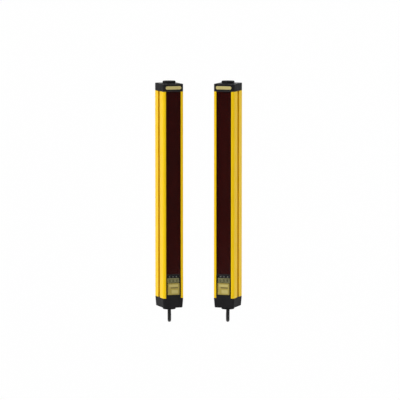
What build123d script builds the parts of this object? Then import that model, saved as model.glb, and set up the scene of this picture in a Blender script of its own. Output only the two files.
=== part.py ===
from build123d import *
import math
import os

os.makedirs("parts", exist_ok=True)

# Driving dimensions of the pair, in millimetres and degrees
bar_width = 36.0
bar_depth = 45.2
bar_length = 374.0            # over both end caps, without their bosses
corner_radius = 4.0
bar_yaw = 19.3                # each window turns this far towards the other bar
bar_spacing = 98.0            # between the two bars' upright axes

# Clearances
slide_gap = 0.2               # beside a piece that slides into a channel
rail_gap = 0.15               # before and behind a board in its rails
bore_gap = 0.1                # round a screw or a bush in its hole
clip_gap = 0.35               # round a cable in its clip
nut_gap = 0.15                # round the connector's neck, inside the turning nut
match_limit = 0.01            # how near a corner lies to the place it is chosen by

# Extrusion section
wall = 2.0
lip_width = 5.0               # flange seen beside the window
lip_thickness = 1.6
lip_rounding = 0.5
pane_overlap = 1.2            # how far the pane reaches behind each flange
pane_thickness = 2.4
seal_thickness = 0.8
seal_width = 1.6
ledge_thickness = 1.8         # shelf that the pane's seals rest on
groove_mouth = 8.4
groove_floor = 10.0
groove_depth = 2.6
port_inset = 3.0              # screw port's axis from the chamber's walls
port_radius = 3.2
rib_thickness = 1.0
side_rib_height = 1.2         # rails of the optics board, on the groove walls
wall_rib_height = 1.4         # rails of the control board, on the side walls

# End caps and their seals
boss_radius = 10.75
boss_height = 4.1
boss_chamfer = 0.5
bottom_cap_height = 15.4
bottom_cap_draft = 4.8
top_cap_height = 11.6
gasket_thickness = 1.0
gasket_inset = 0.2
cap_rounding = 0.8
spigot_play = 0.3             # between the spigot's sides and the screw ports
spigot_depth = 25.6
spigot_wall = 1.6
spigot_reach = 3.0            # into the extrusion
tongue_reach = 5.2            # bottom cap's front tongue, up the window channel

# Fasteners
screw_radius = 1.5
screw_head_radius = 2.6
screw_head_height = 2.0
screw_grip = 10.0             # length of screw inside a port
socket_radius = 1.3
socket_depth = 1.1
counterbore_depth = 3.2
bolt_circle_radius = 7.75
bolt_hole_radius = 1.65
bolt_hole_depth = 9.0
bolt_count = 3

# Window, cover and indicator group
window_end = 40.0             # lower end of the pane above the extrusion's end
cover_seal_height = 1.0
cover_inset = 0.15            # cover's face behind the flanges' faces
cover_wall = 1.2
pocket_side = 2.2             # cover's solid edge beside its pocket
pocket_end = 2.1
label_side = 2.7              # cover's edge seen beside the label
label_height = 19.4
label_thickness = 0.35
label_recess = 0.25
label_margin = 0.3            # label's lower edge above the cover's
label_rounding = 0.8
pane_chamfer = 0.3
status_board_end = 0.4
board_thickness = 1.6
display_play = 0.6            # beside the display in the cover's pocket
display_height = 7.8
display_depth = 2.5
display_gap = 0.5             # display's lower edge above the label's upper one
digit_count = 3
digit_side = 0.9              # display's face beside the digits
digit_gap = 1.6
digit_end = 1.0               # display's face above and below the digits
digit_recess = 0.4
lamp_radius = 1.0
lamp_length = 2.0
lamp_pitch = 6.0
lamp_count = 3
lamp_gap = 2.4                # lamps' axes above the display's upper edge

# Badge on the top cap
badge_side = 4.4              # cap's face beside the badge
badge_height = 5.4
badge_drop = 0.5              # badge's middle below the middle of the cap's face
badge_recess = 0.5
badge_stand = 0.35
badge_rounding = 0.25

# Optics
beam_pitch = 20.0
beam_margin = 7.6             # least distance of an end beam from the carrier's end
optics_board_depth = 0.5      # middle of the optics board behind the bar's axis
lens_clearance = 1.5          # between the pane and the tops of the lenses
carrier_play = 0.3            # between the carrier and the screw ports
carrier_wall = 2.2            # ribs left between the side pockets
carrier_pocket = 1.6
aperture_wall = 2.7           # carrier's wall beside an aperture's front
aperture_back_radius = 2.2
lens_base = 1.2
lens_margin = 2.3             # strip's edge beside a lens
lens_rise = 1.6
device_radius = 1.5
device_length = 1.8
board_end = 6.0               # boards' ends inside the extrusion's ends
control_board_gap = 0.5       # between the groove walls and the board's front rails
control_board_play = 0.3
chip_height = 3.2
chip_width = 9.0
chip_length = 12.0
chip_pitch = 46.0

# Cable, gland, clips and connector
cable_radius = 2.9
gland_radius = 4.5
gland_length = 12.0
clip_height = 7.0
clip_wall = 1.5
clip_mouth = 4.2
clip_foot_thickness = 2.3
clip_foot_play = 0.3
lower_clip_level = 102.0
upper_clip_level = 152.0
cable_stand = 4.8             # cable's axis behind the back face, in a clip
connector_stand = 7.8         # connector's axis behind the back face
cradle_height = 9.0
boot_length = 18.0
boot_start_radius = 3.3
boot_end_radius = 4.8
boot_groove_count = 4
boot_groove_depth = 0.6
boot_groove_width = 1.4
grip_radius = 6.4
grip_length = 20.0
grip_rounding = 1.2
grip_rib_count = 10
grip_rib_radius = 0.9
shoulder_length = 1.2
neck_radius = 4.7
neck_length = 9.0
bead_radius = 5.2
bead_height = 1.0
bead_place = 4.0              # bead's middle above the grip's end
bead_play = 0.5
nut_radius = 7.3
nut_length = 8.7
nut_start = 0.5               # gap between grip and nut
nut_notch_radius = 0.6
nut_notch_count = 16
sleeve_radius = 5.9
sleeve_length = 8.0
pin_radius = 0.4
pin_length = 6.0
pin_circle_radius = 2.75
pin_count = 7

# Cable route of the emitter: out of the boss, round behind the bar and up its back
cable_route = [
    (0.0, 0.0, 0.0),
    (0.0, 0.0, -10.4),
    (0.0, 6.3, -19.1),
    (0.0, 16.6, -22.4),
    (0.0, 26.9, -19.1),
    (0.0, 33.2, -10.4),
    (-1.6, 33.4, 5.5),
    (-5.4, 30.4, 27.0),
    (-8.6, 26.6, 58.0),
    (-9.06, 25.86, lower_clip_level),
    (-9.06, 25.86, upper_clip_level),
    (-10.05, 28.7, 200.0),
    (-10.05, 28.7, 236.0),
]
arc_share = 0.45              # part of the shorter run that each arc takes up

# Depths across the bar, from the window side at the front to the back
front = -bar_depth / 2
back = bar_depth / 2
channel_front = front + lip_thickness
pane_back = channel_front + pane_thickness
channel_back = pane_back + seal_thickness
chamber_front = channel_back + ledge_thickness
chamber_back = back - wall
carrier_front = pane_back + lens_clearance + lens_rise + lens_base
optics_board_front = optics_board_depth - board_thickness / 2
carrier_depth = optics_board_front - carrier_front
groove_wall_back = groove_floor / 2 + wall
control_board_front = groove_wall_back + control_board_gap + rib_thickness + rail_gap
control_board_depth = control_board_front + board_thickness / 2

# Half widths across the bar
side = bar_width / 2
mouth_half = side - lip_width
pane_half = mouth_half + pane_overlap
channel_half = pane_half + slide_gap
throat_half = pane_half - seal_width - slide_gap
chamber_half = side - wall
groove_wall_half = side - groove_depth - wall
port_half = chamber_half - port_inset
spigot_half = port_half - port_radius - spigot_play
carrier_half = port_half - port_radius - carrier_play
lens_radius = carrier_half - lens_margin
aperture_front_radius = carrier_half - aperture_wall
pocket_half = mouth_half - pocket_side
label_half = mouth_half - label_side
display_half = pocket_half - display_play
digit_pitch = 2 * (display_half - digit_side) / digit_count
badge_half = side - badge_side
port_front = chamber_front + port_inset
port_back = chamber_back - port_inset
port_middle = (port_front + port_back) / 2

# Heights above the lower boss's end
housing_low = boss_height + bottom_cap_height + gasket_thickness
cap_top = boss_height + bar_length
housing_high = cap_top - top_cap_height - gasket_thickness
bottom_cap_top = housing_low - gasket_thickness
top_cap_low = housing_high + gasket_thickness
badge_level = top_cap_low + top_cap_height / 2 - badge_drop
window_low = housing_low + window_end
tongue_top = housing_low + tongue_reach
cover_low = tongue_top + slide_gap
cover_high = window_low - cover_seal_height
label_low = cover_low + label_margin
display_low = label_low + label_height + display_gap
lamp_level = display_low + display_height + lamp_gap
carrier_low = window_low + slide_gap
carrier_high = housing_high - spigot_reach - slide_gap
carrier_length = carrier_high - carrier_low
beam_middle = (carrier_low + carrier_high) / 2
beam_count = 1 + int((carrier_length - 2 * beam_margin) // beam_pitch)
board_low = housing_low + board_end
board_high = housing_high - board_end
chip_count = 1 + int((board_high - board_low - chip_length) // chip_pitch)
connector_low = cable_route[-1][2]
grip_low = connector_low + boot_length
neck_low = grip_low + grip_length
insert_face = neck_low + neck_length


def save(piece, label):
    """Name a finished piece and write it."""
    piece.part.label = label
    export_step(piece.part, f"parts/{label}.step")


def facing(bar, depth, height):
    """Upright plane parallel with the window, looking out of the front."""
    origin = bar.from_local_coords(Vector(0, depth, height))
    return Plane(origin, x_dir=bar.x_dir, z_dir=-bar.y_dir)


def band(half_width, depth_low, depth_high, mode=Mode.ADD):
    """Rectangle across the middle of a bar's section, between two depths."""
    with Locations((0, (depth_low + depth_high) / 2)):
        Rectangle(2 * half_width, depth_high - depth_low, mode=mode)


def rail_pair(board_depth, root_half, rib_height):
    """Ribs before and behind both edges of a board."""
    rib_offset = (board_thickness + rib_thickness) / 2 + rail_gap
    with Locations((0, board_depth)):
        with GridLocations(2 * root_half - rib_height, 2 * rib_offset, 2, 2):
            Rectangle(rib_height, rib_thickness)


# Extrusion: one section, open at the front, with a dovetail groove in each other face
def make_housing(name, bar):
    groove_places = [
        Location((side, 0, 0), (0, 0, -90)),
        Location((-side, 0, 0), (0, 0, 90)),
        Location((0, back, 0), (0, 0, 0)),
    ]
    dovetail_angle = math.degrees(math.atan2(groove_depth, (groove_floor - groove_mouth) / 2))
    with BuildPart() as housing:
        with BuildSketch(bar.offset(housing_low)) as section:
            RectangleRounded(bar_width, bar_depth, corner_radius)
            band(mouth_half, front, channel_front, Mode.SUBTRACT)
            band(channel_half, channel_front, channel_back, Mode.SUBTRACT)
            band(throat_half, channel_back, chamber_front, Mode.SUBTRACT)
            with Locations((0, (chamber_front + chamber_back) / 2)):
                RectangleRounded(
                    2 * chamber_half,
                    chamber_back - chamber_front,
                    corner_radius - wall,
                    mode=Mode.SUBTRACT,
                )
            with Locations(groove_places):
                Rectangle(
                    groove_floor + 2 * wall,
                    groove_depth + wall,
                    align=(Align.CENTER, Align.MAX),
                )
            with Locations((0, port_middle)):
                with GridLocations(2 * port_half, port_back - port_front, 2, 2):
                    Circle(port_radius)
            rail_pair(optics_board_depth, groove_wall_half, side_rib_height)
            rail_pair(control_board_depth, chamber_half, wall_rib_height)
            with Locations(groove_places):
                Trapezoid(
                    groove_floor,
                    groove_depth,
                    dovetail_angle,
                    align=(Align.CENTER, Align.MAX),
                    mode=Mode.SUBTRACT,
                )
            with Locations((0, port_middle)):
                with GridLocations(2 * port_half, port_back - port_front, 2, 2):
                    Circle(screw_radius + bore_gap, mode=Mode.SUBTRACT)
            lip_corners = [
                corner
                for corner in section.vertices()
                if abs(corner.Y - front) < match_limit
                and abs(abs(corner.X) - mouth_half) < match_limit
            ]
            fillet(lip_corners, lip_rounding)
        extrude(amount=housing_high - housing_low)
    save(housing, f"{name}_housing")


# Pane, its seals and the cover below it
def make_window(name, bar):
    with BuildPart() as window:
        with BuildSketch(bar.offset(window_low)):
            band(pane_half, channel_front, pane_back)
        extrude(amount=housing_high - window_low)
        chamfer(window.edges().filter_by(Axis.Z), pane_chamfer)
    save(window, f"{name}_window")


def make_window_seals(name, bar):
    seal_place = pane_half - seal_width / 2
    with BuildPart() as seals:
        with BuildSketch(bar.offset(cover_low)):
            with Locations((0, pane_back + seal_thickness / 2)):
                with GridLocations(2 * seal_place, 0, 2, 1):
                    Rectangle(seal_width, seal_thickness)
        extrude(amount=housing_high - cover_low)
    save(seals, f"{name}_window_seals")


def make_access_cover(name, bar):
    with BuildPart() as cover:
        with BuildSketch(bar.offset(cover_low)):
            band(mouth_half - slide_gap, front + cover_inset, channel_front)
            band(pane_half, channel_front, pane_back)
        extrude(amount=cover_high - cover_low)
        pocket_bottom = cover_low + pocket_end
        pocket_top = cover_high - pocket_end
        pocket_front = front + cover_inset + cover_wall
        with BuildSketch(facing(bar, pane_back, (pocket_bottom + pocket_top) / 2)):
            RectangleRounded(2 * pocket_half, pocket_top - pocket_bottom, label_rounding)
        extrude(amount=pane_back - pocket_front, mode=Mode.SUBTRACT)
        label_middle = label_low + label_height / 2
        with BuildSketch(facing(bar, front + cover_inset, label_middle)):
            RectangleRounded(
                2 * (label_half + bore_gap), label_height + 2 * bore_gap, label_rounding + bore_gap
            )
        extrude(amount=-label_recess, mode=Mode.SUBTRACT)
    save(cover, f"{name}_access_cover")


def make_access_cover_seal(name, bar):
    with BuildPart() as seal:
        with BuildSketch(bar.offset(cover_high)):
            band(pane_half, channel_front, pane_back)
        extrude(amount=cover_seal_height)
    save(seal, f"{name}_access_cover_seal")


def make_label_plate(name, bar):
    with BuildPart() as label:
        label_back = front + cover_inset + label_recess
        with BuildSketch(facing(bar, label_back, label_low + label_height / 2)):
            RectangleRounded(2 * label_half, label_height, label_rounding)
        extrude(amount=label_thickness)
    save(label, f"{name}_label_plate")


# Indicator group behind the cover
def make_status_board(name, bar):
    with BuildPart() as board:
        with BuildSketch(bar.offset(cover_low + status_board_end)):
            band(throat_half - slide_gap, pane_back, pane_back + board_thickness)
        extrude(amount=cover_high - cover_low - 2 * status_board_end)
    save(board, f"{name}_status_board")


def make_display_module(name, bar):
    with BuildPart() as display:
        display_middle = display_low + display_height / 2
        with BuildSketch(facing(bar, pane_back, display_middle)):
            Rectangle(2 * display_half, display_height)
        extrude(amount=display_depth)
        with BuildSketch(facing(bar, pane_back - display_depth, display_middle)):
            with GridLocations(digit_pitch, 0, digit_count, 1):
                RectangleRounded(
                    digit_pitch - digit_gap, display_height - 2 * digit_end, digit_recess
                )
        extrude(amount=-digit_recess, mode=Mode.SUBTRACT)
    save(display, f"{name}_display_module")


def make_status_leds(name, bar):
    with BuildPart() as lamps:
        with BuildSketch(facing(bar, pane_back, lamp_level)):
            with GridLocations(lamp_pitch, 0, lamp_count, 1):
                Circle(lamp_radius)
        extrude(amount=lamp_length)
    save(lamps, f"{name}_status_leds")


# End caps: moulded blocks with a round pivot boss, a locating spigot and screw seats
def make_bottom_cap(name, bar):
    cap_low = boss_height
    head_seat = cap_low + counterbore_depth
    downward = Plane(bar.offset(bottom_cap_top).origin, x_dir=bar.x_dir, z_dir=-bar.z_dir)
    with BuildPart() as cap:
        with BuildSketch(downward):
            RectangleRounded(bar_width, bar_depth, corner_radius)
        extrude(amount=bottom_cap_height, taper=bottom_cap_draft)
        fillet(cap.faces().sort_by(Axis.Z)[0].edges(), cap_rounding)
        with BuildSketch(bar):
            Circle(boss_radius)
        extrude(amount=cap_low)
        chamfer(cap.faces().sort_by(Axis.Z)[0].edges(), boss_chamfer)
        with BuildSketch(bar.offset(bottom_cap_top)):
            with Locations((0, port_middle)):
                Rectangle(2 * spigot_half, spigot_depth)
                Rectangle(
                    2 * (spigot_half - spigot_wall),
                    spigot_depth - 2 * spigot_wall,
                    mode=Mode.SUBTRACT,
                )
        extrude(amount=gasket_thickness + spigot_reach)
        with BuildSketch(bar.offset(bottom_cap_top)):
            band(mouth_half - slide_gap, front + cover_inset, channel_front)
            band(pane_half, channel_front, channel_back - slide_gap)
        extrude(amount=gasket_thickness + tongue_reach)
        with BuildSketch(bar):
            Circle(gland_radius + bore_gap)
        extrude(amount=gland_length, mode=Mode.SUBTRACT)
        with BuildSketch(Plane(bar.origin)):
            with PolarLocations(bolt_circle_radius, bolt_count, start_angle=-90):
                Circle(bolt_hole_radius)
        extrude(amount=bolt_hole_depth, mode=Mode.SUBTRACT)
        with BuildSketch(bar.offset(cap_low)):
            with Locations((0, port_middle)):
                with GridLocations(2 * port_half, port_back - port_front, 2, 2):
                    Circle(screw_head_radius + slide_gap)
        extrude(amount=counterbore_depth, mode=Mode.SUBTRACT)
        with BuildSketch(bar.offset(head_seat)):
            with Locations((0, port_middle)):
                with GridLocations(2 * port_half, port_back - port_front, 2, 2):
                    Circle(screw_radius + bore_gap)
        extrude(amount=bottom_cap_top - head_seat, mode=Mode.SUBTRACT)
    save(cap, f"{name}_bottom_cap")


def make_top_cap(name, bar):
    head_seat = cap_top - counterbore_depth
    with BuildPart() as cap:
        with BuildSketch(bar.offset(top_cap_low)):
            RectangleRounded(bar_width, bar_depth, corner_radius)
        extrude(amount=top_cap_height)
        fillet(cap.faces().sort_by(Axis.Z)[-1].edges(), cap_rounding)
        with BuildSketch(bar.offset(cap_top)):
            Circle(boss_radius)
        extrude(amount=boss_height)
        chamfer(cap.faces().sort_by(Axis.Z)[-1].edges(), boss_chamfer)
        with BuildSketch(bar.offset(housing_high - spigot_reach)):
            with Locations((0, port_middle)):
                Rectangle(2 * spigot_half, spigot_depth)
                Rectangle(
                    2 * (spigot_half - spigot_wall),
                    spigot_depth - 2 * spigot_wall,
                    mode=Mode.SUBTRACT,
                )
        extrude(amount=spigot_reach + gasket_thickness)
        with BuildSketch(Plane(bar.origin).offset(cap_top + boss_height)):
            with PolarLocations(bolt_circle_radius, bolt_count, start_angle=-90):
                Circle(bolt_hole_radius)
        extrude(amount=-bolt_hole_depth, mode=Mode.SUBTRACT)
        with BuildSketch(bar.offset(cap_top)):
            with Locations((0, port_middle)):
                with GridLocations(2 * port_half, port_back - port_front, 2, 2):
                    Circle(screw_head_radius + slide_gap)
        extrude(amount=-counterbore_depth, mode=Mode.SUBTRACT)
        with BuildSketch(bar.offset(head_seat)):
            with Locations((0, port_middle)):
                with GridLocations(2 * port_half, port_back - port_front, 2, 2):
                    Circle(screw_radius + bore_gap)
        extrude(amount=top_cap_low - head_seat, mode=Mode.SUBTRACT)
        with BuildSketch(facing(bar, front, badge_level)):
            SlotOverall(2 * (badge_half + bore_gap), badge_height + 2 * bore_gap)
        extrude(amount=-badge_recess, mode=Mode.SUBTRACT)
    save(cap, f"{name}_top_cap")


def make_badge(name, bar):
    with BuildPart() as badge:
        with BuildSketch(facing(bar, front + badge_recess, badge_level)):
            SlotOverall(2 * badge_half, badge_height)
        extrude(amount=badge_recess + badge_stand)
        outer_face = badge.faces().sort_by(Axis(bar.origin, bar.y_dir))[0]
        fillet(outer_face.edges(), badge_rounding)
    save(badge, f"{name}_badge")


def make_gasket(name, bar, node, level):
    with BuildPart() as gasket:
        with BuildSketch(bar.offset(level)):
            RectangleRounded(
                bar_width - 2 * gasket_inset,
                bar_depth - 2 * gasket_inset,
                corner_radius - gasket_inset,
            )
            with Locations((0, port_middle)):
                Rectangle(
                    2 * (spigot_half + slide_gap), spigot_depth + 2 * slide_gap, mode=Mode.SUBTRACT
                )
                with GridLocations(2 * port_half, port_back - port_front, 2, 2):
                    Circle(screw_radius + bore_gap, mode=Mode.SUBTRACT)
            if level < window_low:
                band(mouth_half, front, channel_front, Mode.SUBTRACT)
                band(channel_half, channel_front, channel_back, Mode.SUBTRACT)
        extrude(amount=gasket_thickness)
    save(gasket, f"{name}_{node}")


def make_cap_screws(name, bar, node, head_seat, outward, length):
    """Four socket screws; outward is +1 where the heads look up and -1 where they look down."""
    with BuildPart() as screws:
        with BuildSketch(bar.offset(head_seat)):
            with Locations((0, port_middle)):
                with GridLocations(2 * port_half, port_back - port_front, 2, 2):
                    Circle(screw_head_radius)
        extrude(amount=outward * screw_head_height)
        with BuildSketch(bar.offset(head_seat + outward * screw_head_height)):
            with Locations((0, port_middle)):
                with GridLocations(2 * port_half, port_back - port_front, 2, 2):
                    RegularPolygon(socket_radius, 6)
        extrude(amount=-outward * socket_depth, mode=Mode.SUBTRACT)
        with BuildSketch(bar.offset(head_seat)):
            with Locations((0, port_middle)):
                with GridLocations(2 * port_half, port_back - port_front, 2, 2):
                    Circle(screw_radius)
        extrude(amount=-outward * length)
    save(screws, f"{name}_{node}")


# Optics: a lens over each tapered light channel, with a device at its narrow end
def make_lens_strip(name, bar):
    sphere_radius = (lens_radius**2 + lens_rise**2) / (2 * lens_rise)
    base_latitude = math.degrees(math.asin(1 - lens_rise / sphere_radius))
    with BuildPart() as lenses:
        with BuildSketch(facing(bar, carrier_front, beam_middle)):
            Rectangle(2 * carrier_half, carrier_length)
        extrude(amount=lens_base)
        with Locations(facing(bar, carrier_front - lens_base, beam_middle)):
            with GridLocations(0, beam_pitch, 1, beam_count):
                Sphere(
                    sphere_radius,
                    arc_size1=base_latitude,
                    align=(Align.CENTER, Align.CENTER, Align.MIN),
                )
    save(lenses, f"{name}_lens_strip")


def make_optics_carrier(name, bar):
    pocket_length = beam_pitch - carrier_wall
    recess_place = carrier_half - carrier_pocket / 2
    with BuildPart() as carrier:
        with BuildSketch(facing(bar, optics_board_front, beam_middle)):
            Rectangle(2 * carrier_half, carrier_length)
        extrude(amount=carrier_depth)
        with Locations(facing(bar, optics_board_front, beam_middle)):
            with GridLocations(0, beam_pitch, 1, beam_count):
                Cone(
                    aperture_back_radius,
                    aperture_front_radius,
                    carrier_depth,
                    align=(Align.CENTER, Align.CENTER, Align.MIN),
                    mode=Mode.SUBTRACT,
                )
        with BuildSketch(facing(bar, optics_board_front, beam_middle)):
            with GridLocations(2 * recess_place, beam_pitch, 2, beam_count):
                Rectangle(carrier_pocket, pocket_length)
        extrude(amount=carrier_depth / 2, mode=Mode.SUBTRACT)
    save(carrier, f"{name}_optics_carrier")


def make_optics_board(name, bar):
    with BuildPart() as board:
        with BuildSketch(bar.offset(board_low)):
            band(
                groove_wall_half - slide_gap,
                optics_board_front,
                optics_board_front + board_thickness,
            )
        extrude(amount=board_high - board_low)
    save(board, f"{name}_optics_board")


def make_beam_devices(name, bar, node):
    with BuildPart() as devices:
        with BuildSketch(facing(bar, optics_board_front, beam_middle)):
            with GridLocations(0, beam_pitch, 1, beam_count):
                Circle(device_radius)
        extrude(amount=device_length)
    save(devices, f"{name}_{node}")


def make_control_board(name, bar):
    board_middle = (board_low + board_high) / 2
    with BuildPart() as board:
        with BuildSketch(bar.offset(board_low)):
            band(
                chamber_half - control_board_play,
                control_board_front,
                control_board_front + board_thickness,
            )
        extrude(amount=board_high - board_low)
        with BuildSketch(facing(bar, control_board_front, board_middle)):
            with GridLocations(0, chip_pitch, 1, chip_count):
                Rectangle(chip_width, chip_length)
        extrude(amount=chip_height)
    save(board, f"{name}_control_board")


# Cable entry, cable and its clips
def make_cable_gland(name, bar):
    with BuildPart() as gland:
        with BuildSketch(bar):
            Circle(gland_radius)
        extrude(amount=gland_length - bore_gap)
    save(gland, f"{name}_cable_gland")


def bend_radii(route):
    """Largest arc at each inner point of a route that its two runs leave room for."""
    points = [Vector(*point) for point in route]
    radii = []
    for before, corner, after in zip(points, points[1:], points[2:]):
        run_in = corner - before
        run_out = after - corner
        half_turn = math.radians(run_in.get_angle(run_out)) / 2
        radii.append(arc_share * min(run_in.length, run_out.length) / math.tan(half_turn))
    return radii


def make_cable(name, route):
    radii = bend_radii(route)
    with BuildPart() as cable:
        with BuildLine() as path:
            FilletPolyline(*route, radius=radii)
        with BuildSketch(Plane(route[0], z_dir=(0, 0, -1))):
            Circle(cable_radius)
        sweep(path=path.wires()[0])
    length = path.wires()[0].length
    expected = math.pi * cable_radius**2 * length
    print(f"{name} cable {length:.1f} mm, volume ratio {cable.part.volume / expected:.5f}")
    print("radii", [round(radius, 1) for radius in radii])
    save(cable, f"{name}_cable")


def clip_section(stand, inner_radius, mouth):
    """Foot in the back groove, pad on the back face and an open ring round the cable."""
    foot_half = groove_mouth / 2 - clip_foot_play
    outer_radius = inner_radius + clip_wall
    centre = (0, back + stand)
    with Locations((0, back)):
        Rectangle(2 * foot_half, 2 * clip_foot_thickness)
    with Locations((0, back - clip_foot_thickness)):
        Rectangle(groove_mouth, clip_foot_thickness / 2, align=(Align.CENTER, Align.MIN))
    with Locations(centre):
        Circle(outer_radius)
    band(side, back - groove_depth - wall, back - clip_foot_thickness, Mode.SUBTRACT)
    with Locations(centre):
        Circle(inner_radius, mode=Mode.SUBTRACT)
        Rectangle(
            mouth, 2 * outer_radius, align=(Align.CENTER, Align.MIN), mode=Mode.SUBTRACT
        )


def make_cable_clips(name, bar):
    cradle_low = grip_low + (grip_length - cradle_height) / 2
    with BuildPart() as clips:
        for level in (lower_clip_level, upper_clip_level):
            with BuildSketch(bar.offset(level - clip_height / 2)):
                clip_section(cable_stand, cable_radius + clip_gap, clip_mouth)
            extrude(amount=clip_height)
        with BuildSketch(bar.offset(cradle_low)):
            clip_section(connector_stand, grip_radius + clip_gap, 2 * neck_radius)
        extrude(amount=cradle_height)
    save(clips, f"{name}_cable_clips")


# Connector on the cable's end: turned body, captive nut and contact pins
def make_connector_body(name, axis):
    boot_rise = boot_end_radius - boot_start_radius
    groove_pitch = boot_length / (boot_groove_count + 1)
    bead_low = neck_low + bead_place - bead_height / 2
    with BuildPart() as body:
        with BuildSketch(Plane(axis.origin, x_dir=(1, 0, 0), z_dir=(0, -1, 0))):
            with BuildLine():
                Polyline(
                    (0, connector_low),
                    (boot_start_radius, connector_low),
                    (boot_end_radius, grip_low),
                    (grip_radius - grip_rounding, grip_low),
                    (grip_radius, grip_low + grip_rounding),
                    (grip_radius, neck_low - shoulder_length),
                    (grip_radius - shoulder_length, neck_low),
                    (neck_radius, neck_low),
                    (neck_radius, bead_low),
                    (bead_radius, bead_low),
                    (bead_radius, bead_low + bead_height),
                    (neck_radius, bead_low + bead_height),
                    (neck_radius, insert_face),
                    (0, insert_face),
                    close=True,
                )
            make_face()
            for index in range(boot_groove_count):
                share = (index + 1) / (boot_groove_count + 1)
                groove_place = boot_start_radius + share * boot_rise
                with Locations((groove_place, connector_low + (index + 1) * groove_pitch)):
                    Rectangle(2 * boot_groove_depth, boot_groove_width, mode=Mode.SUBTRACT)
        revolve(axis=Axis(axis.origin, (0, 0, 1)))
        with BuildSketch(axis.offset(grip_low + grip_rounding)):
            with PolarLocations(grip_radius, grip_rib_count, start_angle=90):
                Circle(grip_rib_radius)
        extrude(amount=grip_length - grip_rounding - shoulder_length, mode=Mode.SUBTRACT)
    save(body, f"{name}_connector_body")


def make_connector_nut(name, axis):
    nut_low = neck_low + nut_start
    nut_high = nut_low + nut_length
    sleeve_high = nut_high + sleeve_length
    bore_radius = neck_radius + nut_gap
    relief_height = bead_height + 2 * bead_play
    relief_low = neck_low + bead_place - relief_height / 2
    with BuildPart() as nut:
        with BuildSketch(axis.offset(nut_low)):
            Circle(nut_radius)
            with PolarLocations(nut_radius, nut_notch_count, start_angle=90):
                Circle(nut_notch_radius, mode=Mode.SUBTRACT)
        extrude(amount=nut_length)
        with BuildSketch(axis.offset(nut_high)):
            Circle(sleeve_radius)
        extrude(amount=sleeve_length)
        chamfer(nut.faces().sort_by(Axis.Z)[-1].edges(), boss_chamfer)
        with BuildSketch(axis.offset(nut_low)):
            Circle(bore_radius)
        extrude(amount=sleeve_high - nut_low, mode=Mode.SUBTRACT)
        with BuildSketch(axis.offset(relief_low)):
            Circle(bead_radius + nut_gap)
        extrude(amount=relief_height, mode=Mode.SUBTRACT)
    save(nut, f"{name}_connector_nut")


def make_connector_pins(name, axis):
    with BuildPart() as pins:
        with BuildSketch(axis.offset(insert_face)):
            Circle(pin_radius)
            with PolarLocations(pin_circle_radius, pin_count, start_angle=90):
                Circle(pin_radius)
        extrude(amount=pin_length)
    save(pins, f"{name}_connector_pins")


def make_bar(name, axis_place, yaw, route, device_node):
    """All the pieces of one bar; its plane's X runs across the window, Y to the back."""
    turn = math.radians(yaw)
    bar = Plane((axis_place, 0, 0), x_dir=(math.cos(turn), math.sin(turn), 0), z_dir=(0, 0, 1))
    connector_axis = Plane((route[-1][0], route[-1][1], 0))
    bottom_seat = boss_height + counterbore_depth
    top_seat = cap_top - counterbore_depth
    make_housing(name, bar)
    make_window(name, bar)
    make_window_seals(name, bar)
    make_access_cover(name, bar)
    make_access_cover_seal(name, bar)
    make_label_plate(name, bar)
    make_status_board(name, bar)
    make_display_module(name, bar)
    make_status_leds(name, bar)
    make_bottom_cap(name, bar)
    make_top_cap(name, bar)
    make_badge(name, bar)
    make_gasket(name, bar, "bottom_gasket", bottom_cap_top)
    make_gasket(name, bar, "top_gasket", housing_high)
    bottom_length = housing_low - bottom_seat + screw_grip
    top_length = top_seat - housing_high + screw_grip
    make_cap_screws(name, bar, "bottom_cap_screws", bottom_seat, -1, bottom_length)
    make_cap_screws(name, bar, "top_cap_screws", top_seat, 1, top_length)
    make_lens_strip(name, bar)
    make_optics_carrier(name, bar)
    make_optics_board(name, bar)
    make_beam_devices(name, bar, device_node)
    make_control_board(name, bar)
    make_cable_gland(name, bar)
    make_cable(name, route)
    make_cable_clips(name, bar)
    make_connector_body(name, connector_axis)
    make_connector_nut(name, connector_axis)
    make_connector_pins(name, connector_axis)


mirrored_route = [(bar_spacing - x, y, z) for x, y, z in cable_route]
make_bar("emitter", 0.0, bar_yaw, cable_route, "beam_leds")
make_bar("receiver", bar_spacing, -bar_yaw, mirrored_route, "photodiodes")
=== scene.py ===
import math

import bpy
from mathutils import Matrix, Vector


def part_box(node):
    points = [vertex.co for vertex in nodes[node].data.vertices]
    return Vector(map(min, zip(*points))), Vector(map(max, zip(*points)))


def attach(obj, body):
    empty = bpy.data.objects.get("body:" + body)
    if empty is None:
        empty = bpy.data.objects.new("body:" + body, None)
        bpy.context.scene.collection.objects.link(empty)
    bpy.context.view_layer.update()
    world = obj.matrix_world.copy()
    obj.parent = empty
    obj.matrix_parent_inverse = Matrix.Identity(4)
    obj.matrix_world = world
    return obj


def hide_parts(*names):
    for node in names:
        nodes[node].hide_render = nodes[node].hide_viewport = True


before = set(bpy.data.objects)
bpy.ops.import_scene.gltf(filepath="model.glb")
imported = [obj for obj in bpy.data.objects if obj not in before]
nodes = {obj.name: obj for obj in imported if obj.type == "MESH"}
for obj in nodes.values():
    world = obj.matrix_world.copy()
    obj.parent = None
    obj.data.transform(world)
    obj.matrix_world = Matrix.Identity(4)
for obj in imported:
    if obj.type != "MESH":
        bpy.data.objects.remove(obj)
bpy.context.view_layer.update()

MM = 0.001

# The two bars: where each one's upright axis stands and how far its window is turned
BAR_PLACES = {
    "emitter": (Vector((0.0, 0.0, 0.0)), math.radians(19.3)),
    "receiver": (Vector((0.098, 0.0, 0.0)), math.radians(-19.3)),
}
BAR_SPACING = 98.0

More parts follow.
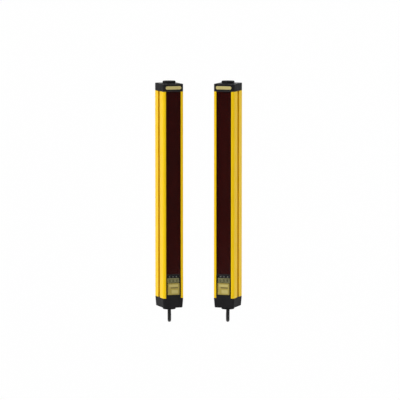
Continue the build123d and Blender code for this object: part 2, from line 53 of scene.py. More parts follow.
# The emitter's cable, as the points that it goes round, in millimetres
CABLE_ROUTE = [
    (0.0, 0.0, 0.0),
    (0.0, 0.0, -10.4),
    (0.0, 6.3, -19.1),
    (0.0, 16.6, -22.4),
    (0.0, 26.9, -19.1),
    (0.0, 33.2, -10.4),
    (-1.6, 33.4, 5.5),
    (-5.4, 30.4, 27.0),
    (-8.6, 26.6, 58.0),
    (-9.06, 25.86, 102.0),
    (-9.06, 25.86, 152.0),
    (-10.05, 28.7, 200.0),
    (-10.05, 28.7, 236.0),
]
CABLE_DIAMETER = 0.0058

# How pieces are merged, flattened, rounded and shaded
MERGE_DISTANCE = 0.002 * MM
FLAT_ANGLE = math.radians(0.6)
ROUNDED_ANGLE = math.radians(30)
SMOOTH_ANGLE = math.radians(46)
FLAT_FACE_WEIGHT = 80


def select_only(piece):
    bpy.ops.object.select_all(action="DESELECT")
    piece.select_set(True)
    bpy.context.view_layer.objects.active = piece


def edit(piece, select="SELECT"):
    select_only(piece)
    bpy.ops.object.mode_set(mode="EDIT")
    bpy.ops.mesh.select_all(action=select)


def leave_edit():
    bpy.ops.object.mode_set(mode="OBJECT")


def apply_modifiers(piece):
    select_only(piece)
    for modifier in list(piece.modifiers):
        bpy.ops.object.modifier_apply(modifier=modifier.name)


def soften(piece, width, segments):
    """Rounds a piece's sharp edges, then shades it smooth with its flat faces kept flat."""
    if width:
        bevel = piece.modifiers.new("rounded_edges", "BEVEL")
        bevel.width = width
        bevel.segments = segments
        bevel.limit_method = "ANGLE"
        bevel.angle_limit = ROUNDED_ANGLE
        bevel.use_clamp_overlap = True
        bevel.miter_outer = "MITER_ARC"
        apply_modifiers(piece)
    select_only(piece)
    bpy.ops.object.shade_smooth_by_angle(angle=SMOOTH_ANGLE)
    weighted = piece.modifiers.new("flat_faces", "WEIGHTED_NORMAL")
    weighted.keep_sharp = True
    weighted.weight = FLAT_FACE_WEIGHT
    apply_modifiers(piece)


def copy_of(node, name, width, segments=2):
    """A merged copy of a CAD node's mesh, with its edges rounded as the real piece's are."""
    piece = bpy.data.objects.new(name, nodes[node].data.copy())
    bpy.context.scene.collection.objects.link(piece)
    piece.data.materials.clear()
    select_only(piece)
    bpy.ops.mesh.customdata_custom_splitnormals_clear()
    edit(piece)
    bpy.ops.mesh.remove_doubles(threshold=MERGE_DISTANCE)
    bpy.ops.mesh.mark_sharp(clear=True)
    bpy.ops.mesh.dissolve_limited(angle_limit=FLAT_ANGLE)
    leave_edit()
    soften(piece, width, segments)
    return piece


def settle(piece, body, slot, *replaced):
    """Gives a finished piece its body and hides the CAD nodes that it stands for; its slot is not
    used.
    """
    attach(piece, body)
    if replaced:
        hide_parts(*replaced)
    return piece


# Camera, at the height and distance that the picture was drawn from
IMAGE_SCALE = 0.5995           # pixels of the picture per millimetre at the bars
IMAGE_WIDTH = 400
SENSOR_WIDTH = 36.0
CAMERA_DISTANCE = 5.8
CAMERA_RISE = math.radians(6.0)
CAMERA_AIM = Vector((0.0514, 0.0, 0.1829))
NEAREST_SEEN, FURTHEST_SEEN = 0.1, 100.0


def add_camera():
    data = bpy.data.cameras.new("camera")
    camera = bpy.data.objects.new("camera", data)
    bpy.context.scene.collection.objects.link(camera)
    data.sensor_width = SENSOR_WIDTH
    field = IMAGE_WIDTH / IMAGE_SCALE * MM
    data.lens = SENSOR_WIDTH * CAMERA_DISTANCE / field
    data.clip_start, data.clip_end = NEAREST_SEEN, FURTHEST_SEEN
    back = Vector((0.0, -math.cos(CAMERA_RISE), math.sin(CAMERA_RISE)))
    camera.location = CAMERA_AIM + back * CAMERA_DISTANCE
    camera.rotation_euler = (-back).to_track_quat("-Z", "Y").to_euler()
    bpy.context.scene.camera = camera


add_camera()


def add_cable(bar, points):
    """A cable's own smooth line. Each point's radius, not the bevel, gives its thickness."""
    data = bpy.data.curves.new(f"{bar}_cable_lead", "CURVE")
    data.dimensions = "3D"
    data.bevel_depth = 1.0
    data.bevel_resolution = 5
    data.resolution_u = 12
    data.use_fill_caps = True
    spline = data.splines.new("NURBS")
    spline.points.add(len(points) - 1)
    for place, point in zip(spline.points, points):
        place.co = (*[value * MM for value in point], 1.0)
        place.radius = CABLE_DIAMETER / 2
    spline.order_u = 3
    spline.use_endpoint_u = True
    lead = bpy.data.objects.new(f"{bar}_cable_lead", data)
    bpy.context.scene.collection.objects.link(lead)
    return settle(lead, "root", "cable_black", f"{bar}_cable")


leads = {
    "emitter": add_cable("emitter", CABLE_ROUTE),
    "receiver": add_cable("receiver", [(BAR_SPACING - x, y, z) for x, y, z in CABLE_ROUTE]),
}


def add_node(tree, kind, values=None, **settings):
    """A shader node, with its settings, and each input linked or set."""
    made = tree.nodes.new(kind)
    for name, value in settings.items():
        setattr(made, name, value)
    for name, value in (values or {}).items():
        if isinstance(value, bpy.types.NodeSocket):
            tree.links.new(value, made.inputs[name])
        else:
            made.inputs[name].default_value = value
    return made


def multiply(tree, first, second):
    return add_node(tree, "ShaderNodeMath", {0: first, 1: second}, operation="MULTIPLY").outputs[0]


def greater(tree, first, second):
    return add_node(tree, "ShaderNodeMath", {0: first, 1: second}, operation="MAXIMUM").outputs[0]


def noise(tree, place, scale, detail, **values):
    """Noise at a place, with a scale that is a number or a socket."""
    inputs = {"Vector": place, "Scale": scale, "Detail": detail, **values}
    return add_node(tree, "ShaderNodeTexNoise", inputs).outputs["Fac"]


def map_range(tree, value, from_ends, to_ends=(0.0, 1.0), **settings):
    inputs = {
        "Value": value,
        "From Min": from_ends[0],
        "From Max": from_ends[1],
        "To Min": to_ends[0],
        "To Max": to_ends[1],
    }
    return add_node(tree, "ShaderNodeMapRange", inputs, **settings).outputs["Result"]


def blend_shades(tree, share, first, second):
    inputs = {"Fac": share, "Color1": first, "Color2": second}
    return add_node(tree, "ShaderNodeMixRGB", inputs).outputs[0]


def new_effect(name, inputs, outputs):
    """An empty shader node group with named sockets, and its two end nodes."""
    tree = bpy.data.node_groups.new(name, "ShaderNodeTree")
    for label, kind in inputs.items():
        tree.interface.new_socket(label, in_out="INPUT", socket_type=kind)
    for label, kind in outputs.items():
        tree.interface.new_socket(label, in_out="OUTPUT", socket_type=kind)
    return tree, tree.nodes.new("NodeGroupInput"), tree.nodes.new("NodeGroupOutput")


FLOAT, COLOR, VECTOR = "NodeSocketFloat", "NodeSocketColor", "NodeSocketVector"

# Ends of the values that each effect spreads out
NOISE_ENDS = (0.3, 0.7)
MOTTLE_ENDS = (0.38, 0.66)
EDGE_PATCH_ENDS = (0.46, 0.62)
EDGE_BENDS = (0.99, 0.85)      # agreement of a face's direction with its rounded neighbours'
RECESS_ENDS = (1.0, 0.5)       # share of the sky that a face sees nearby
EDGE_PATCHES = 420.0
GLOSS_PATCH_SHARE = 0.06       # size of the gloss patches' scale against the grain's
RELIEF_STRENGTH = 0.6


def make_mottle():
    """Soft, cloudy change between two shades of one colour."""
    tree, start, end = new_effect(
        "soft_mottle",
        {"Vector": VECTOR, "Size": FLOAT, "Amount": FLOAT, "Color": COLOR, "Second": COLOR},
        {"Color": COLOR},
    )
    given = start.outputs
    cloud = noise(tree, given["Vector"], given["Size"], 4.0)
    contrast = map_range(tree, cloud, MOTTLE_ENDS, interpolation_type="SMOOTHSTEP")
    share = multiply(tree, contrast, given["Amount"])
    shade = blend_shades(tree, share, given["Color"], given["Second"])
    tree.links.new(shade, end.inputs["Color"])
    return tree


def make_grain():
    """Fine moulded or powdery grain, with a gloss that changes slowly across it."""
    tree, start, end = new_effect(
        "fine_grain",
        {"Vector": VECTOR, "Size": FLOAT, "Smooth": FLOAT, "Rough": FLOAT},
        {"Roughness": FLOAT, "Height": FLOAT},
    )
    given = start.outputs
    pebble = noise(tree, given["Vector"], given["Size"], 3.0)
    wide = multiply(tree, given["Size"], GLOSS_PATCH_SHARE)
    patch = noise(tree, given["Vector"], wide, 5.0)
    gloss = map_range(tree, patch, NOISE_ENDS, (given["Smooth"], given["Rough"]))
    tree.links.new(gloss, end.inputs["Roughness"])
    tree.links.new(pebble, end.inputs["Height"])
    return tree


def make_drawn_lines():
    """Fine lines left along a drawn or turned surface."""
    tree, start, end = new_effect(
        "drawn_lines",
        {"Vector": VECTOR, "Stretch": VECTOR, "Smooth": FLOAT, "Rough": FLOAT},
        {"Roughness": FLOAT, "Height": FLOAT},
    )
    given = start.outputs
    stretched = add_node(
        tree,
        "ShaderNodeVectorMath",
        {0: given["Vector"], 1: given["Stretch"]},
        operation="MULTIPLY",
    )
    lines = noise(tree, stretched.outputs[0], 1.0, 6.0, Roughness=0.6)
    gloss = map_range(tree, lines, NOISE_ENDS, (given["Smooth"], given["Rough"]))
    tree.links.new(gloss, end.inputs["Roughness"])
    tree.links.new(lines, end.inputs["Height"])
    return tree


def make_worn_and_highlit_edges():
    """A lighter colour on outer edges, in broken patches: partly wear from handling, partly a
    painted highlight.
    """
    tree, start, end = new_effect(
        "worn_and_highlit_edges",
        {"Vector": VECTOR, "Reach": FLOAT, "Amount": FLOAT, "Color": COLOR, "Worn and lit": COLOR},
        {"Color": COLOR},
    )
    given = start.outputs
    rounded = add_node(tree, "ShaderNodeBevel", {"Radius": given["Reach"]}, samples=4)
    surface = add_node(tree, "ShaderNodeNewGeometry")
    match = add_node(
        tree,
        "ShaderNodeVectorMath",
        {0: rounded.outputs["Normal"], 1: surface.outputs["Normal"]},
        operation="DOT_PRODUCT",
    )
    edge = map_range(tree, match.outputs["Value"], EDGE_BENDS)
    broken = noise(tree, given["Vector"], EDGE_PATCHES, 5.0)
    patches = map_range(tree, broken, EDGE_PATCH_ENDS)
    share = multiply(tree, multiply(tree, edge, patches), given["Amount"])
    shade = blend_shades(tree, share, given["Color"], given["Worn and lit"])
    tree.links.new(shade, end.inputs["Color"])
    return tree


def make_shaded_recesses():
    """Painted shade: a deeper shade of the coat in grooves and corners, darker the more closed in
    they are.
    """
    tree, start, end = new_effect(
        "shaded_recesses",
        {"Reach": FLOAT, "Amount": FLOAT, "Color": COLOR, "Deep": COLOR},
        {"Color": COLOR},
    )
    given = start.outputs
    openness = add_node(
        tree,
        "ShaderNodeAmbientOcclusion",
        {"Distance": given["Reach"]},
        samples=8,
        only_local=True,
    )
    closed = map_range(tree, openness.outputs["AO"], RECESS_ENDS)
    share = multiply(tree, closed, given["Amount"])
    shade = blend_shades(tree, share, given["Color"], given["Deep"])
    tree.links.new(shade, end.inputs["Color"])
    return tree


MOTTLE = make_mottle()
GRAIN = make_grain()
DRAWN_LINES = make_drawn_lines()
WORN_AND_HIGHLIT_EDGES = make_worn_and_highlit_edges()
SHADED_RECESSES = make_shaded_recesses()


def place_effect(tree, effect, values):
    return add_node(tree, "ShaderNodeGroup", values, node_tree=effect)


def shade_of(red, green, blue):
    return (red, green, blue, 1.0)


def make_finish(
    name,
    colour,
    second,
    size,
    amount,
    gloss,
    grain=None,
    lines=None,
    depth=0.0,
    wear_and_highlight=None,
    recessed=None,
    **sockets,
):
    """A finish: two mottled shades, a grain or drawn lines under its gloss, lighter edges (partly
    wear, partly painted highlight) and painted shade in recesses.

    gloss is the least and most roughness; worn and recessed are a reach, an amount and a colour.
    """
    finish = bpy.data.materials.new(name)
    finish.use_nodes = True
    tree = finish.node_tree
    shader = tree.nodes["Principled BSDF"]
    place = add_node(tree, "ShaderNodeTexCoord").outputs["Object"]
    mottle = place_effect(
        tree,
        MOTTLE,
        {
            "Vector": place,
            "Size": size,
            "Amount": amount,
            "Color": shade_of(*colour),
            "Second": shade_of(*second),
        },
    )
    colour_out = mottle.outputs["Color"]
    # Painted shade: the colour is darkened in grooves and corners, where shade falls
    if recessed:
        reach, recess_amount, deep_colour = recessed
        shaded = place_effect(
            tree,
            SHADED_RECESSES,
            {
                "Reach": reach,
                "Amount": recess_amount,
                "Color": colour_out,
                "Deep": shade_of(*deep_colour),
            },
        )
        colour_out = shaded.outputs["Color"]
    # Lighter outer edges: partly wear, partly a painted highlight
    if wear_and_highlight:
        reach, wear_and_highlight_amount, wear_and_highlight_colour = wear_and_highlight
        worn_lit_edges = place_effect(
            tree,
            WORN_AND_HIGHLIT_EDGES,
            {
                "Vector": place,
                "Reach": reach,
                "Amount": wear_and_highlight_amount,
                "Color": colour_out,
                "Worn and lit": shade_of(*wear_and_highlight_colour),
            },
        )
        colour_out = worn_lit_edges.outputs["Color"]
    tree.links.new(colour_out, shader.inputs["Base Color"])
    smooth, rough = gloss
    values = {"Vector": place, "Smooth": smooth, "Rough": rough}
    if lines:
        relief = place_effect(tree, DRAWN_LINES, {**values, "Stretch": lines})
    else:
        relief = place_effect(tree, GRAIN, {**values, "Size": grain})
    tree.links.new(relief.outputs["Roughness"], shader.inputs["Roughness"])
    if depth:
        bump = add_node(
            tree,
            "ShaderNodeBump",
            {"Height": relief.outputs["Height"], "Distance": depth, "Strength": RELIEF_STRENGTH},
        )
        tree.links.new(bump.outputs["Normal"], shader.inputs["Normal"])
    for socket, value in sockets.items():
        shader.inputs[socket.replace("_", " ")].default_value = value
    return finish


# The light curtain's finishes, by material slot, and those of its small print and digits
FINISHES = {
    "yellow_coat": make_finish(
        "yellow_powder_coat",
        colour=(0.88, 0.575, 0.006),
        second=(0.84, 0.53, 0.005),
        size=30.0,
        amount=0.5,
        gloss=(0.36, 0.48),
        grain=1100.0,
        depth=0.00012,
        # paler yellow on outer edges: partly wear, partly a painted highlight
        wear_and_highlight=(0.0005, 0.35, (0.93, 0.7, 0.14)),
        # painted shade: the coat darkened in its grooves and corners
        recessed=(0.006, 0.7, (0.6, 0.31, 0.002)),
        Specular_IOR_Level=0.1,
    ),
    "window_red": make_finish(
        "dark_red_pane",
        colour=(0.03, 0.0014, 0.0008),
        second=(0.022, 0.0012, 0.0008),
        size=14.0,
        amount=0.6,
        gloss=(0.05, 0.1),
        grain=160.0,
        Alpha=0.8,
        Specular_IOR_Level=0.25,
    ),
    "cap_black": make_finish(
        "moulded_cap_black",
        colour=(0.016, 0.0155, 0.0165),
        second=(0.021, 0.0205, 0.022),
        size=60.0,
        amount=0.5,
        gloss=(0.36, 0.5),
        grain=2600.0,
        depth=0.00005,
        # grey outer edges: partly wear, partly a painted highlight along the rounded corners
        wear_and_highlight=(0.0005, 0.5, (0.05, 0.05, 0.055)),
        Specular_IOR_Level=0.015,
    ),
    "seal_black": make_finish(
        "seal_rubber",
        colour=(0.01, 0.01, 0.01),
        second=(0.02, 0.019, 0.018),
        size=200.0,
        amount=0.5,
        gloss=(0.68, 0.85),
        grain=3200.0,
        depth=0.00003,
    ),
    "cover_smoke": make_finish(
        "smoked_cover",
        colour=(0.014, 0.013, 0.011),
        second=(0.01, 0.009, 0.008),
        size=40.0,
        amount=0.5,
        gloss=(0.12, 0.2),
        grain=500.0,
        Alpha=0.24,
        Specular_IOR_Level=0.25,
    ),
    "label_yellow": make_finish(
        "label_film",
        colour=(0.4, 0.31, 0.05),
        second=(0.35, 0.27, 0.045),
        size=160.0,
        amount=0.6,
        gloss=(0.42, 0.55),
        grain=2200.0,
        depth=0.00001,
    ),
    "badge_cream": make_finish(
        "badge_face",
        colour=(0.56, 0.47, 0.18),
        second=(0.5, 0.42, 0.16),
        size=120.0,
        amount=0.5,
        gloss=(0.28, 0.4),
        grain=1800.0,
        depth=0.00001,
    ),
    "display_grey": make_finish(
        "display_face",
        colour=(0.56, 0.54, 0.24),
        second=(0.48, 0.46, 0.2),
        size=260.0,
        amount=0.5,
        gloss=(0.3, 0.42),
        grain=1800.0,
    ),
    "lamp_clear": make_finish(
        "lamp_lens",
        colour=(0.62, 0.64, 0.58),
        second=(0.52, 0.55, 0.5),
        size=900.0,
        amount=0.5,
        gloss=(0.08, 0.16),
        grain=1400.0,
    ),
    "board_green": make_finish(
        "board_mask",
        colour=(0.012, 0.075, 0.03),
        second=(0.02, 0.11, 0.045),
        size=420.0,
        amount=0.7,
        gloss=(0.32, 0.46),
        grain=1600.0,
        depth=0.00002,
    ),
    "board_black": make_finish(
        "black_board_mask",
        colour=(0.016, 0.017, 0.024),
        second=(0.026, 0.027, 0.036),
        size=420.0,
        amount=0.6,
        gloss=(0.32, 0.46),
        grain=1600.0,
        depth=0.00002,
    ),
    "lens_clear": make_finish(
        "lens_moulding",
        colour=(0.62, 0.5, 0.46),
        second=(0.54, 0.42, 0.38),
        size=90.0,
        amount=0.5,
        gloss=(0.06, 0.14),
        grain=700.0,
    ),
    "carrier_black": make_finish(
        "carrier_moulding",
        colour=(0.012, 0.012, 0.012),
        second=(0.02, 0.02, 0.02),
        size=150.0,
        amount=0.5,
        gloss=(0.6, 0.75),
        grain=2400.0,
        depth=0.00004,
    ),
    "device_clear": make_finish(
        "beam_device",
        colour=(0.3, 0.3, 0.34),
        second=(0.2, 0.2, 0.24),
        size=800.0,
        amount=0.5,
        gloss=(0.1, 0.2),
        grain=1500.0,
    ),
    "cable_black": make_finish(
        "cable_sheath",
        colour=(0.006, 0.006, 0.006),
        second=(0.01, 0.01, 0.01),
        size=180.0,
        amount=0.5,
        gloss=(0.42, 0.58),
        grain=1400.0,
        depth=0.00003,
        Specular_IOR_Level=0.25,
    ),
    "clip_black": make_finish(
        "clip_nylon",
        colour=(0.016, 0.016, 0.017),
        second=(0.026, 0.026, 0.027),
        size=140.0,
        amount=0.5,
        gloss=(0.38, 0.5),
        grain=2600.0,
        depth=0.00003,
    ),
    "connector_black": make_finish(
        "connector_moulding",
        colour=(0.013, 0.013, 0.014),
        second=(0.022, 0.022, 0.023),
        size=160.0,
        amount=0.5,
        gloss=(0.45, 0.6),
        grain=2600.0,
        depth=0.00004,
        # grey outer edges: partly wear, partly a painted highlight
        wear_and_highlight=(0.0003, 0.5, (0.06, 0.06, 0.06)),
    ),
    "nut_nickel": make_finish(
        "plated_nut",
        colour=(0.62, 0.6, 0.55),
        second=(0.55, 0.53, 0.48),
        size=220.0,
        amount=0.5,
        gloss=(0.16, 0.34),
        lines=(500.0, 500.0, 9000.0),
        depth=0.000008,
        Metallic=1.0,
    ),
    "pin_gold": make_finish(
        "gilt_pin",
        colour=(0.86, 0.6, 0.22),
        second=(0.78, 0.52, 0.18),
        size=900.0,
        amount=0.5,
        gloss=(0.14, 0.26),
        lines=(3000.0, 3000.0, 600.0),
        depth=0.000004,
        Metallic=1.0,
    ),
    "screw_steel": make_finish(
        "screw_steel",
        colour=(0.5, 0.49, 0.47),
        second=(0.4, 0.39, 0.37),
        size=500.0,
        amount=0.5,
        gloss=(0.24, 0.42),
        lines=(5000.0, 900.0, 900.0),
        depth=0.000006,
        Metallic=1.0,
    ),
    "digit_dark": make_finish(
        "digit_segment",
        colour=(0.018, 0.02, 0.016),
        second=(0.028, 0.03, 0.024),
        size=700.0,
        amount=0.5,
        gloss=(0.35, 0.5),
        grain=2400.0,
    ),
    "label_ink": make_finish(
        "label_print",
        colour=(0.06, 0.05, 0.02),
        second=(0.09, 0.075, 0.03),
        size=600.0,
        amount=0.5,
        gloss=(0.5, 0.65),
        grain=2400.0,
    ),
    "label_light": make_finish(
        "label_blank_field",
        colour=(0.5, 0.42, 0.13),
        second=(0.46, 0.38, 0.12),
        size=300.0,
        amount=0.5,
        gloss=(0.42, 0.55),
        grain=2200.0,
    ),
}


def coat(piece, finish):
    piece.data.materials.clear()
    piece.data.materials.append(FINISHES[finish])


for lead in leads.values():
    coat(lead, "cable_black")


# Rounded copies of CAD nodes: new name, edge rounding in millimetres, its segments, finish
ROUNDED = {
    "housing": ("extrusion", 0.14, 2, "yellow_coat"),
    "top_cap": ("top_end_cap", 0.25, 3, "cap_black"),
    "bottom_cap": ("bottom_end_cap", 0.25, 3, "cap_black"),
    "window": ("pane", 0.0, 1, "window_red"),
    "access_cover": ("smoked_access_cover", 0.15, 2, "cover_smoke"),
    "label_plate": ("nameplate", 0.06, 2, "label_yellow"),
    "badge": ("oval_plate", 0.0, 1, "badge_cream"),
    "top_cap_screws": ("top_screws", 0.12, 2, "screw_steel"),
    "bottom_cap_screws": ("bottom_screws", 0.12, 2, "screw_steel"),
    "display_module": ("display_block", 0.06, 2, "display_grey"),
    "cable_clips": ("lead_clips", 0.2, 2, "clip_black"),
    "cable_gland": ("lead_grommet", 0.2, 2, "seal_black"),
    "lens_strip": ("lens_row", 0.0, 1, "lens_clear"),
    "connector_body": ("plug_moulding", 0.15, 2, "connector_black"),
    "connector_pins": ("plug_pins", 0.12, 2, "pin_gold"),
}


def add_rounded_copies(bar):
    made = {}
    for node, (name, rounding, segments, finish) in ROUNDED.items():
        piece = copy_of(f"{bar}_{node}", f"{bar}_{name}", rounding * MM, segments)
        coat(piece, finish)
        made[node] = settle(piece, "root", finish, f"{bar}_{node}")
    return made


pieces = {bar: add_rounded_copies(bar) for bar in BAR_PLACES}


def stand_in_bar(piece, bar):
    """Stands a new piece, modelled at the origin, in its bar."""
    place, turn = BAR_PLACES[bar]
    piece.location = place + piece.location
    piece.rotation_euler.z += turn
    select_only(piece)
    bpy.ops.object.transform_apply(location=True, rotation=True, scale=True)
    return piece


def join(parts, name):
    bpy.ops.object.select_all(action="DESELECT")
    for part in parts:
        part.select_set(True)
    bpy.context.view_layer.objects.active = parts[0]
    bpy.ops.object.join()
    joined = bpy.context.view_layer.objects.active
    joined.name = name
    joined.data.name = name
    return joined


def flat_block(x, y, z, width, thickness, height):
    """A thin upright block, given by its middle and its sizes, in millimetres."""
    bpy.ops.mesh.primitive_cube_add(size=1.0, location=(x * MM, y * MM, z * MM))
    block = bpy.context.object
    block.scale = (width * MM, thickness * MM, height * MM)
    bpy.ops.object.transform_apply(location=True, rotation=True, scale=True)
    return block


# Digits of the display, in millimetres: heights and depths are those in the CAD
SEGMENT_LENGTH = 1.75
SEGMENT_WIDTH = 0.5
SEGMENT_DEPTH = 0.12
DIGIT_PITCH = 6.2
DIGIT_FLOOR = -20.7
DISPLAY_MIDDLE = 50.0
SEGMENT_SPACING = SEGMENT_LENGTH + 0.12
SEGMENT_END = 0.02             # a corner further out than this belongs to an end


def add_segment(x, z, upright):
    """One segment of a digit: a flat bar with a point at each end."""
    bpy.ops.mesh.primitive_cylinder_add(
        vertices=6,
        radius=SEGMENT_WIDTH / 2 * MM,
        depth=SEGMENT_DEPTH * MM,
        location=(x * MM, (DIGIT_FLOOR - SEGMENT_DEPTH / 2) * MM, z * MM),
        rotation=(math.pi / 2, 0.0 if upright else math.pi / 2, 0.0),
    )
    segment = bpy.context.object
    bpy.ops.object.transform_apply(location=False, rotation=True, scale=False)
    along = 2 if upright else 0
    stretch = (SEGMENT_LENGTH - SEGMENT_WIDTH) / 2 * MM
    for end in (-1, 1):
        edit(segment, "DESELECT")
        leave_edit()
        for vertex in segment.data.vertices:
            vertex.select = vertex.co[along] * end > SEGMENT_END * MM
        bpy.ops.object.mode_set(mode="EDIT")
        shift = [0.0, 0.0, 0.0]
        shift[along] = end * stretch
        bpy.ops.transform.translate(value=shift)
        leave_edit()
    select_only(segment)
    bpy.ops.object.transform_apply(location=True, rotation=False, scale=False)
    return segment


def add_digits(bar):
    half = SEGMENT_SPACING / 2
    segments = []
    for index in (-1, 0, 1):
        centre = index * DIGIT_PITCH
        for level in (-SEGMENT_SPACING, 0.0, SEGMENT_SPACING):
            segments.append(add_segment(centre, DISPLAY_MIDDLE + level, False))
        for level in (-half, half):
            for side in (-half, half):
                segments.append(add_segment(centre + side, DISPLAY_MIDDLE + level, True))
    digits = stand_in_bar(join(segments, f"{bar}_digit_segments"), bar)
    coat(digits, "digit_dark")
    return settle(digits, "root", "display_grey")


# Print on the nameplate, in millimetres from its middle: x, z, width, height
LABEL_FACE = -22.55
LABEL_MIDDLE = 35.9
PRINT_DEPTH = 0.03
LABEL_RULES = [
    (0.0, 8.6, 18.4, 0.25),
    (0.0, -8.6, 18.4, 0.25),
    (-9.1, 0.0, 0.25, 17.0),
    (9.1, 0.0, 0.25, 17.0),
    (1.2, 1.9, 12.6, 1.5),
    (-4.4, -4.6, 0.25, 7.6),
]
LABEL_FIELDS = [
    (0.0, 5.6, 15.6, 3.6),
    (1.9, -4.6, 11.0, 5.8),
]


def add_label_print(bar, name, areas, finish):
    """One ink of the nameplate's generic print."""
    blocks = [
        flat_block(
            x, LABEL_FACE - PRINT_DEPTH / 2, LABEL_MIDDLE + z, width, PRINT_DEPTH, height
        )
        for x, z, width, height in areas
    ]
    print_area = stand_in_bar(join(blocks, f"{bar}_{name}"), bar)
    coat(print_area, finish)
    return settle(print_area, "root", "label_yellow")


# Indicator lamps, in millimetres
LAMP_LEVEL = 56.3
LAMP_PITCH = 6.0
LAMP_RADIUS = 1.0
LAMP_BACK = -18.6
LAMP_DOME = 0.8
LAMP_STEM = 2.0 - LAMP_DOME
DOME_SMOOTH_ANGLE = math.radians(40)
RIM = -0.001                   # corners further back than this are on a dome's rim


def add_lamps(bar):
    """Indicator lamps: short clear studs with domed ends."""
    lamps = []
    for index in (-1, 0, 1):
        bpy.ops.mesh.primitive_uv_sphere_add(
            segments=32,
            ring_count=16,
            radius=LAMP_RADIUS * MM,
            location=(0.0, 0.0, 0.0),
            rotation=(math.pi / 2, 0.0, 0.0),
        )
        lamp = bpy.context.object
        bpy.ops.object.transform_apply(location=True, rotation=True, scale=True)
        edit(lamp)
        bpy.ops.mesh.bisect(
            plane_co=(0.0, 0.0, 0.0), plane_no=(0.0, 1.0, 0.0), clear_outer=True
        )
        bpy.ops.mesh.select_all(action="SELECT")
        bpy.ops.transform.resize(
            value=(1.0, LAMP_DOME / LAMP_RADIUS, 1.0), center_override=(0.0, 0.0, 0.0)
        )
        bpy.ops.mesh.select_all(action="DESELECT")
        leave_edit()
        for edge in lamp.data.edges:
            ends = [lamp.data.vertices[v].co.y for v in edge.vertices]
            edge.select = min(ends) > RIM * MM
        bpy.ops.object.mode_set(mode="EDIT")
        bpy.ops.mesh.extrude_region_move(
            TRANSFORM_OT_translate={"value": (0.0, LAMP_STEM * MM, 0.0)}
        )
        bpy.ops.mesh.edge_face_add()
        bpy.ops.mesh.select_all(action="SELECT")
        bpy.ops.mesh.normals_make_consistent(inside=False)
        leave_edit()
        lamp.location = (index * LAMP_PITCH * MM, (LAMP_BACK - LAMP_STEM) * MM, LAMP_LEVEL * MM)
        bpy.ops.object.transform_apply(location=True, rotation=False, scale=False)
        lamps.append(lamp)
    row = stand_in_bar(join(lamps, f"{bar}_indicator_lamps"), bar)
    select_only(row)
    bpy.ops.object.shade_smooth_by_angle(angle=DOME_SMOOTH_ANGLE)
    coat(row, "lamp_clear")
    return settle(row, "root", "lamp_clear", f"{bar}_status_leds")


# Thread of the connector's nut, in millimetres: the corners of its ridge are shares of a pitch
THREAD_START = 284.2
THREAD_PITCH = 1.0
THREAD_TURNS = 6
THREAD_ROOT = 5.85
THREAD_CREST = 6.25
THREAD_STEPS = 40
THREAD_SMOOTH_ANGLE = math.radians(30)
NUT_ROUNDING = 0.12
RIDGE = [(THREAD_ROOT, 0.02), (THREAD_ROOT, 0.9), (THREAD_CREST, 0.46)]


def add_thread(x, y):
    """A ridge wound round an upright axis by a screw modifier."""
    bpy.ops.mesh.primitive_circle_add(vertices=len(RIDGE), radius=THREAD_PITCH / 2 * MM)
    ridge = bpy.context.object
    for corner, (radius, share) in zip(ridge.data.vertices, RIDGE):
        corner.co = (radius * MM, 0.0, share * THREAD_PITCH * MM)
    winding = ridge.modifiers.new("winding", "SCREW")
    winding.axis = "Z"
    winding.angle = math.tau * THREAD_TURNS
    winding.screw_offset = THREAD_PITCH * THREAD_TURNS * MM
    winding.steps = winding.render_steps = THREAD_STEPS * THREAD_TURNS
    winding.use_merge_vertices = False
    apply_modifiers(ridge)
    edit(ridge, "DESELECT")
    bpy.ops.mesh.select_non_manifold()
    bpy.ops.mesh.edge_face_add()
    bpy.ops.mesh.select_all(action="SELECT")
    bpy.ops.mesh.normals_make_consistent(inside=False)
    leave_edit()
    ridge.location = (x, y, THREAD_START * MM)
    select_only(ridge)
    bpy.ops.object.transform_apply(location=True, rotation=False, scale=False)
    bpy.ops.object.shade_smooth_by_angle(angle=THREAD_SMOOTH_ANGLE)
    return ridge


def add_nut(bar):
    """The connector's nut: the CAD's knurled grip, with a thread wound round its sleeve."""
    node = f"{bar}_connector_nut"
    nut = copy_of(node, f"{bar}_knurled_nut", NUT_ROUNDING * MM)
    lowest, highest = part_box(node)
    centre = (lowest + highest) / 2
    nut = join([nut, add_thread(centre.x, centre.y)], f"{bar}_knurled_nut")
    coat(nut, "nut_nickel")
    return settle(nut, f"{bar}_nut", "nut_nickel", node)


for bar in BAR_PLACES:
    add_digits(bar)
    add_label_print(bar, "nameplate_rules", LABEL_RULES, "label_ink")
    add_label_print(bar, "nameplate_fields", LABEL_FIELDS, "label_light")
    add_lamps(bar)
    pieces[bar]["connector_nut"] = add_nut(bar)


# CAD nodes whose shape is right as it is, and their finishes
PLAIN_NODES = {
    "window_seals": "seal_black",
    "access_cover_seal": "seal_black",
    "top_gasket": "seal_black",
    "bottom_gasket": "seal_black",
    "status_board": "board_black",
    "optics_board": "board_green",
    "control_board": "board_green",
    "optics_carrier": "carrier_black",
    "beam_leds": "device_clear",
    "photodiodes": "device_clear",
}
for name, piece in nodes.items():
    bar, node = name.split("_", 1)
    if node in PLAIN_NODES:
        coat(piece, PLAIN_NODES[node])


# Studio: a white floor far below, a soft sky and four broad lamps
FLOOR_SIZE = 60.0
FLOOR_PLACE = (0.0, 27.0, -0.45)
FLOOR_SHADE = 0.9
FLOOR_ROUGHNESS = 0.9
FLOOR_GLOW = 0.88
SKY_HEIGHTS = (-0.1, 0.8)      # where the sky's light starts and stops growing
HORIZON_LIGHT = 0.16
OVERHEAD_LIGHT = 0.65
WHITE = (1.0, 1.0, 1.0, 1.0)
SUNS = {
    # name: (strength, width in degrees, direction of its light)
    "key_left": (1.6, 30.0, (0.93, 0.25, -0.27)),
    "right_fill": (0.5, 30.0, (-0.9, 0.35, -0.25)),
    "high_front": (0.6, 40.0, (0.0, 0.6, -0.8)),
    "back_fill": (1.0, 40.0, (-0.2, -0.85, -0.48)),
}


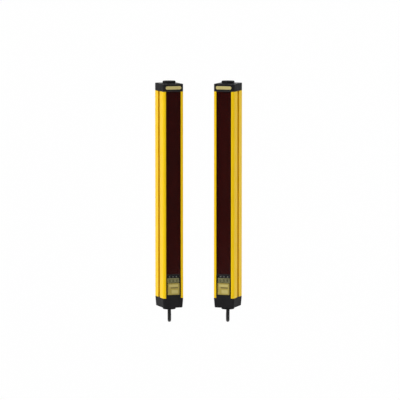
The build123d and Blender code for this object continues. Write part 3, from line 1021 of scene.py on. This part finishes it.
def add_floor():
    """A white floor, which glows where the camera, a gloss or a clear piece shows it."""
    bpy.ops.mesh.primitive_plane_add(size=FLOOR_SIZE, location=FLOOR_PLACE)
    floor = bpy.context.object
    floor.name = "studio_floor"
    white = bpy.data.materials.new("studio_white")
    white.use_nodes = True
    tree = white.node_tree
    shader = tree.nodes["Principled BSDF"]
    shader.inputs["Base Color"].default_value = shade_of(FLOOR_SHADE, FLOOR_SHADE, FLOOR_SHADE)
    shader.inputs["Roughness"].default_value = FLOOR_ROUGHNESS
    glow = add_node(tree, "ShaderNodeEmission", {"Color": WHITE, "Strength": 1.0})
    path = add_node(tree, "ShaderNodeLightPath").outputs
    seen = greater(tree, path["Is Camera Ray"], path["Is Glossy Ray"])
    seen = greater(tree, seen, path["Is Transmission Ray"])
    blend = add_node(
        tree,
        "ShaderNodeMixShader",
        {0: multiply(tree, seen, FLOOR_GLOW), 1: shader.outputs[0], 2: glow.outputs[0]},
    )
    tree.links.new(blend.outputs[0], tree.nodes["Material Output"].inputs["Surface"])
    floor.data.materials.append(white)


def add_world():
    """White where the camera looks past the floor, and a soft light that is stronger overhead."""
    world = bpy.data.worlds.new("studio")
    bpy.context.scene.world = world
    world.use_nodes = True
    tree = world.node_tree
    sky = tree.nodes["Background"]
    sky.inputs["Color"].default_value = WHITE
    direction = add_node(tree, "ShaderNodeTexCoord").outputs["Generated"]
    height = add_node(tree, "ShaderNodeSeparateXYZ", {0: direction}).outputs["Z"]
    light = map_range(
        tree,
        height,
        SKY_HEIGHTS,
        (HORIZON_LIGHT, OVERHEAD_LIGHT),
        interpolation_type="SMOOTHSTEP",
    )
    tree.links.new(light, sky.inputs["Strength"])
    backdrop = add_node(tree, "ShaderNodeBackground", {"Color": WHITE, "Strength": 1.0})
    path = add_node(tree, "ShaderNodeLightPath").outputs
    choice = add_node(
        tree,
        "ShaderNodeMixShader",
        {0: path["Is Camera Ray"], 1: sky.outputs[0], 2: backdrop.outputs[0]},
    )
    tree.links.new(choice.outputs[0], tree.nodes["World Output"].inputs["Surface"])


def add_sun(name, strength, spread, direction):
    """A lamp that shines along a direction, soft by its apparent width in degrees."""
    data = bpy.data.lights.new(name, "SUN")
    data.energy = strength
    data.angle = math.radians(spread)
    lamp = bpy.data.objects.new(name, data)
    bpy.context.scene.collection.objects.link(lamp)
    lamp.rotation_euler = Vector(direction).to_track_quat("-Z", "Y").to_euler()


add_floor()
add_world()
for name, (strength, spread, direction) in SUNS.items():
    add_sun(name, strength, spread, direction)

bpy.context.scene.view_settings.view_transform = "Standard"
